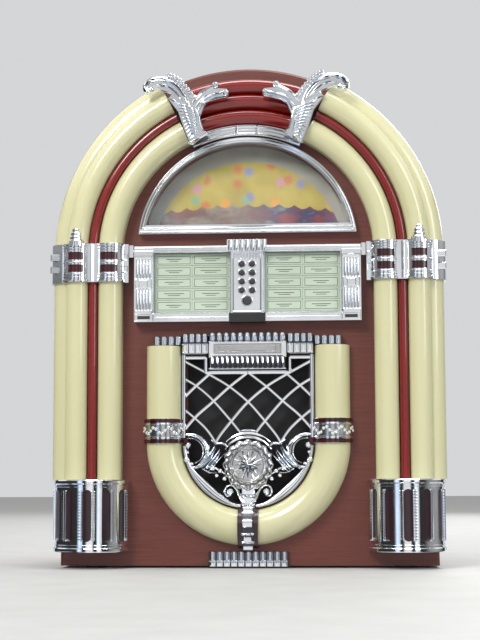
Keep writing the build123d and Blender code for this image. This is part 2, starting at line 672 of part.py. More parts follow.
os.makedirs("parts", exist_ok=True)
build_cabinet()
build_back()
build_battery()
build_tubes()
build_crown()
build_wings()
build_collars()
build_feet()
build_window()
build_door()
build_buttons()
build_controls()
build_u_tube()
build_grille()
build_speaker()
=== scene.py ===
"""Looks of the table-top jukebox radio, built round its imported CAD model.

Bits of a piece are placed by (x, z, proud) in millimetres: x to the right of the centre line, z up from
the cabinet's underside, and proud out in front of the front panel's face. at() turns them into the
frame's metres.
"""

from math import asin, cos, degrees, pi, radians, sin

import bmesh
import bpy
from mathutils import Matrix, Vector


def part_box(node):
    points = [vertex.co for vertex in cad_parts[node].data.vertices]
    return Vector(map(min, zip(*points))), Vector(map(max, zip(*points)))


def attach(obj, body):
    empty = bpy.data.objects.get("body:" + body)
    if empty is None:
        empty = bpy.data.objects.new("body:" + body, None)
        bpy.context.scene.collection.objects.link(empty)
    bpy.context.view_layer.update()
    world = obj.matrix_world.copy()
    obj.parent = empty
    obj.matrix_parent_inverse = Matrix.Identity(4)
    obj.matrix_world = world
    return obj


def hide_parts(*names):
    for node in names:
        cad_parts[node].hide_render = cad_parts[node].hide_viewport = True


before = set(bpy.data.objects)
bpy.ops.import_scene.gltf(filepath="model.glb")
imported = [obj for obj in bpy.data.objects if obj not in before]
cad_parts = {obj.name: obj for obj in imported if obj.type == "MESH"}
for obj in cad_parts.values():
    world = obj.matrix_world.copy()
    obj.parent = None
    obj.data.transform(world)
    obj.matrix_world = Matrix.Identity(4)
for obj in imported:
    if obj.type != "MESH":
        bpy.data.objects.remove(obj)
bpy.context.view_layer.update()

MM = 0.001
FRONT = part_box("front_panel")[0][1]
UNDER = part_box("cabinet_shell")[0][2]
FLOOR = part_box("rubber_feet")[0][2]

# Millimetres, as the CAD part has them. A half-round tube is (lowest X, highest X, how proud its crest is).
ARCH_Z = 207.5
TUBE_INNER = (84.0, 99.8, 15.0)
TUBE_OUTER = (106.6, 121.2, 16.0)
U_CENTRE_Z = 80.8
U_TUBE = (44.4, 67.7, 12.4)
FOOT_X = 103.8
FOOT_R = 24.5
WINDOW_Z = 212.5
MEDALLION_Z = 66.0

# The radius of the U's tube, and how proud its flanks stand before they turn round
U_TUBE_R = (U_TUBE[1] - U_TUBE[0]) / 2
U_TUBE_FLANK = U_TUBE[2] - U_TUBE_R


def at(x, z, proud):
    """A place given in millimetres, in the frame's metres."""
    return Vector((x * MM, FRONT - proud * MM, UNDER + z * MM))


def add_object(name, data):
    """A new object in the scene."""
    thing = bpy.data.objects.new(name, data)
    bpy.context.scene.collection.objects.link(thing)
    return thing


# ---------------- materials

def shader(name, colour, roughness, **sockets):
    """A material with its Principled shader, and uniform values on the shader's own sockets."""
    material = bpy.data.materials.new(name)
    material.use_nodes = True
    principled = material.node_tree.nodes["Principled BSDF"]
    principled.inputs["Base Color"].default_value = (*colour, 1)
    principled.inputs["Roughness"].default_value = roughness
    for socket, value in sockets.items():
        principled.inputs[socket.replace("_", " ")].default_value = value
    return material, material.node_tree, principled


def feed(tree, node, inputs):
    """Puts values on a node's inputs, or links from the outputs of other nodes."""
    for socket, value in inputs.items():
        if isinstance(value, bpy.types.NodeSocket):
            tree.links.new(value, node.inputs[socket])
        else:
            node.inputs[socket].default_value = value
    return node


def add_node(tree, kind, **inputs):
    """A new shader node, with its named inputs fed."""
    return feed(tree, tree.nodes.new("ShaderNode" + kind), inputs)


def noise(tree, scale, detail=4.0, roughness=0.5, stretch=(1, 1, 1)):
    """Noise in the object's own coordinates, in metres, so a scale of 1000 varies over a millimetre."""
    place = add_node(tree, "TexCoord").outputs["Object"]
    stretched = add_node(tree, "Mapping", Vector=place, Scale=stretch).outputs["Vector"]
    texture = add_node(tree, "TexNoise", Vector=stretched, Scale=scale, Detail=detail, Roughness=roughness)
    return texture.outputs["Fac"]


def split_coordinates(tree, kind="Object"):
    """X and Z of the object's own coordinates, or of another kind."""
    split = add_node(tree, "SeparateXYZ", Vector=add_node(tree, "TexCoord").outputs[kind])
    return split.outputs["X"], split.outputs["Z"]


def ramp(tree, source, *stops):
    """A colour ramp; each stop is a position and a colour or a grey."""
    node = add_node(tree, "ValToRGB", Fac=source)
    elements = node.color_ramp.elements
    while len(elements) < len(stops):
        elements.new(0.5)
    for element, (position, colour) in zip(elements, stops):
        element.position = position
        rgb = colour if isinstance(colour, tuple) else (colour,) * 3
        element.color = (*rgb, 1)
    return node.outputs["Color"]


def bump(tree, principled, source, distance_mm, strength=1.0):
    """Relief in the shading, from a height of 0 to 1."""
    node = add_node(tree, "Bump", Distance=distance_mm * MM, Strength=strength, Height=source)
    feed(tree, principled, {"Normal": node.outputs["Normal"]})


def math_node(tree, operation, *inputs):
    """The outcome of an operation on numbers or sockets."""
    node = tree.nodes.new("ShaderNodeMath")
    node.operation = operation
    return feed(tree, node, dict(enumerate(inputs))).outputs["Value"]


def mix_colour(tree, factor, first, second):
    """The first colour where the factor is 0, the second where it is 1."""
    node = tree.nodes.new("ShaderNodeMix")
    node.data_type = "RGBA"
    # In this mode the colours are inputs 6 and 7, and output 2
    return feed(tree, node, {0: factor, 6: first, 7: second}).outputs[2]


def clear_for(tree, principled, ray):
    """Makes the material transparent to one kind of ray."""
    clear = add_node(tree, "BsdfTransparent").outputs["BSDF"]
    mix = add_node(tree, "MixShader", Fac=add_node(tree, "LightPath").outputs[ray])
    feed(tree, mix, {1: principled.outputs["BSDF"], 2: clear})
    feed(tree, tree.nodes["Material Output"], {"Surface": mix.outputs["Shader"]})


def wood_material(name, dark, light, grain_stretch, gloss):
    """Veneer: long streaks and fine pores drawn out along the grain, under satin lacquer."""
    material, tree, principled = shader(name, light, gloss, Coat_Weight=0.12, Coat_Roughness=0.2)
    streaks = noise(tree, 26, 6, 0.62, grain_stretch)
    pores = noise(tree, 170, 3, 0.7, grain_stretch)
    patches = noise(tree, 9, 2)
    blend = math_node(tree, "MULTIPLY_ADD", pores, 0.35, math_node(tree, "MULTIPLY", streaks, 0.7))
    blend = math_node(tree, "MULTIPLY_ADD", patches, 0.18, blend)
    colour = ramp(tree, blend, (0.44, dark), (0.74, light))
    rough = ramp(tree, pores, (0.3, gloss + 0.12), (0.7, gloss - 0.05))
    feed(tree, principled, {"Base Color": colour, "Roughness": rough})
    bump(tree, principled, pores, 0.12, 0.5)
    return material


def plastic_material(name, colour, shade, roughness, mottle=14, grain_mm=0.0, **sockets):
    """Moulded plastic: a slow drift of colour and roughness, and moulded grain or sink marks."""
    material, tree, principled = shader(name, colour, roughness, **sockets)
    drift = ramp(tree, noise(tree, mottle, 3), (0.35, shade), (0.65, colour))
    rough = ramp(tree, noise(tree, 60), (0.3, roughness * 0.92), (0.75, min(1.0, roughness * 1.12)))
    feed(tree, principled, {"Base Color": drift, "Roughness": rough})
    if grain_mm:
        bump(tree, principled, noise(tree, 2200, 2), grain_mm, 0.8)
    else:
        bump(tree, principled, noise(tree, 90, 2), 0.05, 0.35)
    return material


def chrome_material(name, tint, roughness, ripple_mm=0.06):
    """Vacuum plating on moulded plastic: bright, with a slight orange peel and duller patches of wear."""
    material, tree, principled = shader(name, tint, roughness, Metallic=1.0)
    wear = noise(tree, 45, 5, 0.6)
    dull = tuple(0.85 * channel for channel in tint)
    colour = ramp(tree, wear, (0.45, tint), (0.8, dull))
    rough = ramp(tree, wear, (0.5, roughness), (0.8, roughness + 0.08))
    feed(tree, principled, {"Base Color": colour, "Roughness": rough})
    bump(tree, principled, noise(tree, 160, 2), ripple_mm, 0.5)
    return material


def lens_material():
    """Clear acrylic. Shadow rays pass straight through, so that the picture behind it is lit."""
    material, tree, principled = shader(
        "clear acrylic", (0.97, 0.98, 0.97), 0.03, IOR=1.49, Transmission_Weight=1.0,
    )
    bump(tree, principled, noise(tree, 18, 1), 0.12, 0.4)
    clear_for(tree, principled, "Is Shadow Ray")
    return material


def cloth_material():
    """Black grille cloth: a fine over-and-under weave."""
    material, tree, principled = shader("grille cloth", (0.012, 0.012, 0.014), 0.9, Sheen_Weight=0.3)
    x, z = split_coordinates(tree)
    thread_pitch = 0.9 * MM
    across = math_node(tree, "SINE", math_node(tree, "MULTIPLY", x, 2 * pi / thread_pitch))
    up = math_node(tree, "SINE", math_node(tree, "MULTIPLY", z, 2 * pi / thread_pitch))
    weave = math_node(tree, "MULTIPLY_ADD", math_node(tree, "MULTIPLY", across, up), 0.5, 0.5)
    colour = ramp(tree, weave, (0.2, (0.005, 0.005, 0.006)), (0.8, (0.035, 0.033, 0.036)))
    feed(tree, principled, {"Base Color": colour})
    bump(tree, principled, weave, 0.2)
    return material


def confetti(tree, x, z):
    """Round spots scattered on the X-Z plane: how strong the spot is, and its ink."""
    plane = add_node(tree, "CombineXYZ", X=x, Y=z).outputs["Vector"]
    cells = add_node(tree, "TexVoronoi", Vector=plane, Scale=88, Randomness=1.0)
    cells.voronoi_dimensions = "2D"
    pick = add_node(tree, "SeparateColor", Color=cells.outputs["Color"])
    ink = ramp(
        tree, pick.outputs["Red"],
        (0.0, (0.10, 0.16, 0.55)), (0.3, (0.55, 0.08, 0.05)), (0.55, (0.75, 0.25, 0.03)),
        (0.75, (0.08, 0.35, 0.30)), (0.9, (0.55, 0.20, 0.45)),
    )
    ink.node.color_ramp.interpolation = "CONSTANT"
    spot = ramp(tree, cells.outputs["Distance"], (0.14, 1.0), (0.40, 0.0))
    kept = math_node(tree, "GREATER_THAN", pick.outputs["Green"], 0.35)
    spot = math_node(tree, "MULTIPLY", spot, kept)
    return math_node(tree, "MULTIPLY", spot, 0.62), ink


def picture_material():
    """The window's printed card: soft confetti on a yellow field, a scalloped dark foot and a grey border."""
    material, tree, principled = shader("window print", (0.8, 0.6, 0.1), 0.55, Coat_Weight=0.2)
    x, z = split_coordinates(tree)
    x_squared = math_node(tree, "MULTIPLY", x, x)

    spot, ink = confetti(tree, x, z)
    clouds = noise(tree, 34, 3)
    yellow = ramp(tree, clouds, (0.35, (0.33, 0.25, 0.05)), (0.65, (0.47, 0.38, 0.09)))
    field = mix_colour(tree, spot, yellow, ink)

    foot_top, foot_bow = UNDER + 243 * MM, 1.3
    scallop_pitch, scallop_depth = 21 * MM, 2.4 * MM
    wave = math_node(tree, "SINE", math_node(tree, "MULTIPLY", x, 2 * pi / scallop_pitch))
    wave = math_node(tree, "MULTIPLY", math_node(tree, "ABSOLUTE", wave), scallop_depth)
    height = math_node(tree, "SUBTRACT", z, foot_top)
    height = math_node(tree, "ADD", height, math_node(tree, "MULTIPLY", x_squared, foot_bow))
    in_foot = math_node(tree, "LESS_THAN", math_node(tree, "ADD", height, wave), 0.0)
    stains = noise(tree, 60, 3, stretch=(1, 1, 2))
    navy = ramp(
        tree, stains, (0.40, (0.17, 0.18, 0.20)), (0.50, (0.035, 0.04, 0.11)), (0.66, (0.20, 0.04, 0.05)),
    )
    brown = ramp(
        tree, stains, (0.40, (0.24, 0.21, 0.19)), (0.56, (0.15, 0.10, 0.09)), (0.68, (0.20, 0.08, 0.07)),
    )
    rightward = ramp(tree, math_node(tree, "MULTIPLY_ADD", x, 10, 0.5), (0.5, 0.0), (0.72, 1.0))
    colour = mix_colour(tree, in_foot, field, mix_colour(tree, rightward, brown, navy))

    border_r, widened = 59 * MM, 0.87
    above = math_node(tree, "SUBTRACT", z, UNDER + WINDOW_Z * MM)
    above_squared = math_node(tree, "MULTIPLY", above, above)
    reach = math_node(tree, "ADD", math_node(tree, "MULTIPLY", x_squared, widened), above_squared)
    in_border = math_node(tree, "GREATER_THAN", math_node(tree, "SQRT", reach), border_r)
    grey = ramp(tree, clouds, (0.3, (0.24, 0.24, 0.21)), (0.7, (0.36, 0.35, 0.30)))
    feed(tree, principled, {"Base Color": mix_colour(tree, in_border, colour, grey)})
    bump(tree, principled, noise(tree, 900, 2), 0.03, 0.4)
    return material


def paper_material(name, colour, shade):
    """Card or pressed paper: a faint tone drift and a fine tooth."""
    material, tree, principled = shader(name, colour, 0.6, Specular_IOR_Level=0.35)
    feed(tree, principled, {"Base Color": ramp(tree, noise(tree, 40), (0.3, shade), (0.7, colour))})
    bump(tree, principled, noise(tree, 1500, 3), 0.03, 0.5)
    return material


def build_materials():
    """One look for each slot of the record, and those that only Blender pieces or OWN_LOOKS use."""
    chrome_tint = (0.88, 0.90, 0.93)
    materials = {
        "wood": wood_material("mahogany", (0.095, 0.022, 0.016), (0.155, 0.038, 0.026), (2, 9, 60), 0.32),
        "board": wood_material("hardboard", (0.035, 0.022, 0.014), (0.075, 0.047, 0.030), (4, 4, 4), 0.6),
        "cream": plastic_material(
            "cream", (0.62, 0.60, 0.37), (0.59, 0.57, 0.345), 0.22, 6, Coat_Weight=0.5, Coat_Roughness=0.06,
            Subsurface_Weight=0.12, Subsurface_Scale=0.004,
        ),
        "black_plastic": plastic_material(
            "black moulding", (0.02, 0.02, 0.022), (0.012, 0.012, 0.013), 0.45, grain_mm=0.06,
        ),
        "rubber": plastic_material("rubber", (0.015,) * 3, (0.01,) * 3, 0.8, grain_mm=0.1),
        "cell": plastic_material("cell sleeve", (0.12, 0.10, 0.03), (0.10, 0.08, 0.025), 0.3, Metallic=0.6),
        "chrome": chrome_material("plated chrome", chrome_tint, 0.08, 0.05),
        "ornament": chrome_material("ornament chrome", chrome_tint, 0.08, 0.06),
        # A darker copy of the chrome for flats, bands, the medallion and half the star's facets: painted
        # shade.
        "worn": chrome_material("painted shade plating", (0.58,) * 3, 0.20, 0.10),
        # A near-black copy of the chrome, put under ribs as painted shade in the recesses between them.
        "groove": chrome_material("painted recess shade", (0.10, 0.10, 0.12), 0.35),
        "steel": chrome_material("zinc steel", (0.60, 0.58, 0.52), 0.3, 0.04),
        "clear": lens_material(),
        "print": picture_material(),
        "cloth": cloth_material(),
        "cards": paper_material("mint card", (0.52, 0.60, 0.49), (0.47, 0.55, 0.44)),
        "ink": paper_material("printed line", (0.09, 0.13, 0.11), (0.06, 0.09, 0.08)),
        "speaker_paper": paper_material("pressed paper", (0.06, 0.055, 0.05), (0.045, 0.04, 0.036)),
    }
    for key, name, colour, shade, roughness, coat in (
        ("red_strip", "dark red", (0.21, 0.007, 0.008), (0.16, 0.005, 0.006), 0.18, 0.6),
        ("plum", "plum liner", (0.030, 0.008, 0.014), (0.020, 0.006, 0.010), 0.3, 0.3),
        ("ring_red", "ring red", (0.050, 0.005, 0.007), (0.032, 0.004, 0.005), 0.2, 0.4),
        ("crown_red", "crown red", (0.22, 0.008, 0.005), (0.16, 0.006, 0.004), 0.14, 0.7),
        ("knob", "gloss black", (0.03, 0.03, 0.032), (0.02, 0.02, 0.02), 0.18, 0.5),
        ("pointer", "pointer red", (0.60, 0.04, 0.02), (0.5, 0.03, 0.015), 0.25, 0.0),
        ("legend", "white legend", (0.75, 0.75, 0.70), (0.66, 0.66, 0.62), 0.5, 0.0),
        ("button", "button grey", (0.035, 0.035, 0.04), (0.025, 0.025, 0.028), 0.16, 0.6),
        ("speaker_metal", "black enamel", (0.05, 0.05, 0.055), (0.04, 0.04, 0.043), 0.4, 0.0),
        ("board_green", "laminate", (0.05, 0.20, 0.09), (0.035, 0.15, 0.06), 0.35, 0.0),
        ("lamp", "bulb glass", (0.8, 0.78, 0.7), (0.75, 0.72, 0.62), 0.1, 0.8),
    ):
        materials[key] = plastic_material(name, colour, shade, roughness, Coat_Weight=coat)
    return materials


MATERIALS = build_materials()

# Nodes that look different from the rest of their slot
OWN_LOOKS = {"foot_liners": "plum", "collar_windows": "ring_red"}


def dress_cad_nodes():
    """Gives each carried-over CAD node the look of its slot, which its packed material is named after."""
    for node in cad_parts.values():
        slot = OWN_LOOKS.get(node.name) or node.data.materials[0].name
        node.data.materials.clear()
        node.data.materials.append(MATERIALS[slot])


# ---------------- mesh building

def smooth_path(points, steps=6):
    """A curve through given points (Catmull-Rom), with its end points kept."""
    ends = [points[0]] + list(points) + [points[-1]]
    path = []
    for i in range(len(points) - 1):
        a, b, c, d = (Vector(p) for p in ends[i : i + 4])
        for step in range(steps):
            t = step / steps
            squared = (2 * a - 5 * b + 4 * c - d) * t ** 2
            cubed = (3 * b - a - 3 * c + d) * t ** 3
            path.append(0.5 * (2 * b + (c - a) * t + squared + cubed))
    path.append(Vector(points[-1]))
    return [tuple(p) for p in path]


def arc(x, z, radius, start_deg, end_deg, steps=16):
    """Points on a circle, with degrees counted anticlockwise from the right."""
    turns = [radians(start_deg + (end_deg - start_deg) * i / steps) for i in range(steps + 1)]
    return [(x + radius * cos(t), z + radius * sin(t)) for t in turns]


class Piece:
    """Gathers closed bits of one piece, each in a named material, and makes them one object."""

    def __init__(self, name, material="ornament"):
        self.name = name
        self.material = material
        self.points = []
        self.faces = []
        self.looks = []

    def add(self, points, faces, look=None):
        """Adds one bit, in millimetres; a look left out is the piece's own."""
        base = len(self.points)
        self.points += [at(*point) for point in points]
        self.faces += [tuple(base + i for i in face) for face in faces]
        self.looks += [look or self.material] * len(faces)

    def loft(self, rings, look=None):
        """Joins rings of the same number of points, and closes both ends."""
        count = len(rings[0])
        points = [point for ring in rings for point in ring]
        faces = [tuple(range(count))[::-1], tuple(range((len(rings) - 1) * count, len(rings) * count))]
        for ring in range(len(rings) - 1):
            for i in range(count):
                here, beside = ring * count + i, ring * count + (i + 1) % count
                faces.append((here, beside, beside + count, here + count))
        self.add(points, faces, look)

    def prism(self, outline, low, high, bevel=0.3, look=None):
        """A front-view outline made solid between two proud distances, with a bevelled front edge."""
        inner = inset(outline, bevel)
        rings = [
            [(x, z, low) for x, z in outline],
            [(x, z, high - bevel) for x, z in outline],
            [(x, z, high) for x, z in inner],
        ]
        self.loft(rings, look)

    def block(self, x, z, low, high, bevel=0.3, look=None):
        """A prism between two X and two Z."""
        self.prism([(x[0], z[0]), (x[1], z[0]), (x[1], z[1]), (x[0], z[1])], low, high, bevel, look)

    def ridge(self, path, widths, low, high, look=None, sides=7, square=1.0):
        """A rib along a path, round-topped, or flatter where square is under 1.

        Widths and highs are single numbers, or lists at even spacing along the path.
        """
        rings = []
        last = len(path) - 1
        for i, (x, z) in enumerate(path):
            before = path[max(i - 1, 0)]
            after = path[min(i + 1, last)]
            along = Vector((after[0] - before[0], after[1] - before[1])).normalized()
            half = spread(widths, i / last) / 2
            top = spread(high, i / last)
            ring = []
            for side in range(sides):
                turn = pi * side / (sides - 1)
                offset = half * abs(cos(turn)) ** square * (1 if cos(turn) >= 0 else -1)
                rise = low + (top - low) * (0.15 + 0.85 * abs(sin(turn)) ** square)
                ring.append((x - along.y * offset, z + along.x * offset, rise))
            ring += [(x + along.y * k, z - along.x * k, low) for k in (half, -half)]
            rings.append(ring)
        self.loft(rings, look)

    def ball(self, x, z, proud, radius, look=None, flat=1.0, segments=12):
        """A ball, flattened front to back where flat is under 1."""
        rings = []
        stacks = segments // 2
        for stack in range(1, stacks):
            lean = pi * stack / stacks
            ring_r = radius * sin(lean)
            height = proud - radius * flat * cos(lean)
            rings.append([
                (x + ring_r * cos(2 * pi * i / segments), z + ring_r * sin(2 * pi * i / segments), height)
                for i in range(segments)
            ])
        self.loft(rings, look)

    def turned(self, x, z, profile, look=None, segments=48, scallops=0, depth=0.0):
        """A disc turned about a front-to-back axis; the profile is (radius, proud) from back to front."""
        rings = []
        for radius, proud in profile:
            ring = []
            for i in range(segments):
                turn = 2 * pi * i / segments
                reach = radius * (1 + depth * cos(scallops * turn)) if scallops else radius
                ring.append((x + reach * cos(turn), z + reach * sin(turn), proud))
            rings.append(ring)
        self.loft(rings, look)

    def sleeve(self, section, thick, low_z, high_z, look=None, round_mm=0.3):
        """A band round the front of a half-round tube, with its upper and lower edges rounded."""
        skin = 0.12
        levels = [
            (low_z, thick - round_mm), (low_z + round_mm, thick),
            (high_z - round_mm, thick), (high_z, thick - round_mm),
        ]
        rings = []
        for z, grow in levels:
            outer = tube_outline(section, grow)
            inner = tube_outline(section, skin)
            rings.append([(x, z, proud) for x, proud in outer + inner[::-1]])
        self.loft(rings, look)

    def mirror(self):
        """Adds the mirror image of everything so far, across the centre line."""
        base = len(self.points)
        self.points += [Vector((-p.x, p.y, p.z)) for p in self.points]
        self.faces += [tuple(base + i for i in face[::-1]) for face in list(self.faces)]
        self.looks += list(self.looks)

    def make(self, body="cabinet", slot="chrome", replaces=(), crease_deg=40):
        """Makes the object, smooth but for its creases, riding a body and standing for CAD nodes."""
        looks = sorted(set(self.looks))
        mesh = bpy.data.meshes.new(self.name)
        mesh.from_pydata(self.points, [], self.faces)
        for look in looks:
            mesh.materials.append(MATERIALS[look])
        for face, look in zip(mesh.polygons, self.looks):
            face.material_index = looks.index(look)
        work = bmesh.new()
        work.from_mesh(mesh)
        bmesh.ops.recalc_face_normals(work, faces=work.faces)
        work.to_mesh(mesh)
        work.free()
        mesh.polygons.foreach_set("use_smooth", [True] * len(mesh.polygons))
        mesh.set_sharp_from_angle(angle=radians(crease_deg))
        thing = add_object(self.name, mesh)
        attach(thing, body)
        if replaces:
            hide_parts(*replaces)
        return thing


def spread(values, t):
    """A number, or the value a share t along a list of evenly spaced ones."""
    if isinstance(values, (int, float)):
        return values
    place = t * (len(values) - 1)
    i = min(int(place), len(values) - 2)
    return values[i] + (values[i + 1] - values[i]) * (place - i)


def inset(outline, distance):
    """The outline moved inwards by a small distance, each corner along its bisector."""
    count = len(outline)
    area = sum(
        outline[i][0] * outline[(i + 1) % count][1] - outline[(i + 1) % count][0] * outline[i][1]
        for i in range(count)
    )
    turn = 1 if area > 0 else -1
    moved = []
    for i in range(count):
        before, here, after = (Vector(outline[(i + k) % count]) for k in (-1, 0, 1))
        a = (here - before).normalized()
        b = (after - here).normalized()
        normal = Vector((-a.y - b.y, a.x + b.x)) * turn
        reach = distance * 2 / max(normal.length_squared, 0.6)
        moved.append(tuple(here + normal * reach))
    return moved


def tube_outline(section, grow, steps=20):
    """The front outline (x, proud) of a half-round tube, from its outer flank over to its inner one."""
    low_x, high_x, proud = section
    middle = (low_x + high_x) / 2
    radius = (high_x - low_x) / 2
    flank = proud - radius
    points = [(high_x + grow, 0.1)]
    points += [(middle + (radius + grow) * cos(pi * i / steps), flank + (radius + grow) * sin(pi * i / steps))
               for i in range(steps + 1)]
    points.append((low_x - grow, 0.1))
    return points


# ---------------- wings

def build_wing(side):
    """A chrome wing on each side of the crown: feathered stem, outer scroll, beaded ridge and inner leaf."""
    base = 16.4
    wing = Piece(f"wing_looks_{side}")
    backing = [
        (-37.6, 279.5), (-42.0, 290.0), (-45.6, 301.0), (-52.6, 310.2), (-50.0, 313.5), (-60.0, 317.2),
        (-66.6, 313.6), (-69.2, 318.6), (-65.8, 323.6), (-58.8, 325.6), (-53.4, 324.4), (-50.0, 326.6),
        (-43.6, 323.2), (-37.0, 314.6), (-33.2, 312.0), (-25.0, 317.0), (-20.6, 321.0), (-19.8, 317.0),
        (-12.6, 316.4), (-11.4, 312.0), (-20.3, 310.4), (-27.6, 304.8), (-30.4, 297.5), (-28.6, 289.0),
        (-24.8, 286.2), (-27.8, 284.4), (-33.0, 281.6),
    ]
    wing.prism(backing, base, base + 2.2, 0.5)
    scroll = smooth_path([
        (-37.6, 304.0), (-40.6, 311.6), (-45.4, 318.2), (-51.2, 322.4), (-57.6, 324.2), (-63.6, 323.0),
        (-67.2, 319.4), (-66.8, 315.8), (-63.6, 314.8),
    ])
    wing.ridge(scroll, (1.8, 3.0, 3.6, 3.8, 3.8, 3.6, 2.6), base, (19.6, 20.6, 21.4, 21.4, 20.8))
    inner_lip = smooth_path([(-42.0, 308.2), (-46.8, 314.6), (-52.2, 318.6), (-57.4, 319.6), (-61.6, 318.6)])
    wing.ridge(inner_lip, (1.4, 2.2, 2.4, 1.6), base, (19.0, 20.2, 20.2, 19.4))
    wing.ball(-63.4, 316.2, 19.6, 2.2, flat=0.8)
    leaf = smooth_path([(-42.6, 305.6), (-47.4, 308.6), (-53.0, 310.6)])
    wing.ridge(leaf, (1.6, 2.6, 0.8), base, (19.2, 20.2, 18.8))
    beading = [(-50.8, 326.2), (-46.4, 324.2), (-42.4, 320.6), (-38.6, 316.2), (-35.4, 311.6)]
    for i, (x, z) in enumerate(smooth_path(beading, 8)[::4]):
        wing.ball(x, z, 19.4, 1.75 - 0.03 * i, flat=1.0)
    for start, middle, end, wide in (
        ((-33.6, 304.0), (-26.4, 310.6), (-11.8, 314.8), 3.0),
        ((-32.2, 300.6), (-27.0, 307.2), (-12.4, 311.2), 2.2),
        ((-35.6, 307.0), (-29.6, 313.6), (-21.6, 318.4), 2.6),
    ):
        wing.ridge(smooth_path([start, middle, end]), (1.4, wide, 0.8 * wide), base, (19.4, 21.0, 20.0))
    wing.ball(-13.2, 313.4, 19.0, 2.3, flat=0.9)
    wing.ball(-20.2, 318.8, 19.4, 2.3, flat=0.9)
    rail = smooth_path([(-33.6, 303.0), (-31.0, 298.0), (-29.9, 292.4), (-28.2, 288.0), (-24.8, 286.4)])
    wing.ridge(rail, (1.4, 2.0, 2.0, 1.6, 1.0), base, (20.2, 21.0, 20.4, 19.2))
    second_rail = smooth_path([(-35.6, 303.6), (-33.4, 297.0), (-32.6, 291.0), (-31.4, 286.4)])
    wing.ridge(second_rail, (1.2, 1.7, 1.7, 1.2), base, (20.0, 20.8, 20.0))
    barbs = 11
    for i in range(barbs):
        t = i / (barbs - 1)
        root = (-32.4 - 3.0 * t, 283.6 + 19.4 * t)
        tip = (-37.0 - 9.4 * t ** 0.9, 282.0 + 24.6 * t)
        middle = ((root[0] + tip[0]) / 2 - 0.3, (root[1] + tip[1]) / 2 + 1.5 - 0.8 * t)
        wing.ridge(smooth_path([root, middle, tip], 4), (1.2, 2.1, 1.0), base, (19.6, 20.6, 19.2), sides=5)
    fan_foot = smooth_path([(-31.0, 283.4), (-35.0, 280.6), (-38.2, 279.8)], 4)
    wing.ridge(fan_foot, (1.4, 2.4, 1.6), base, (19.4, 20.0, 19.0))
    if side == "right":
        for point in wing.points:
            point.x = -point.x
    wing.make(replaces=(f"wing_{side}",))


# ---------------- speaker front

def rim_point(radius, turn_deg):
    """A point of the U at a radius about its centre; degrees below level, 0 at the right."""
    return radius * cos(radians(turn_deg)), U_CENTRE_Z - radius * sin(radians(turn_deg))


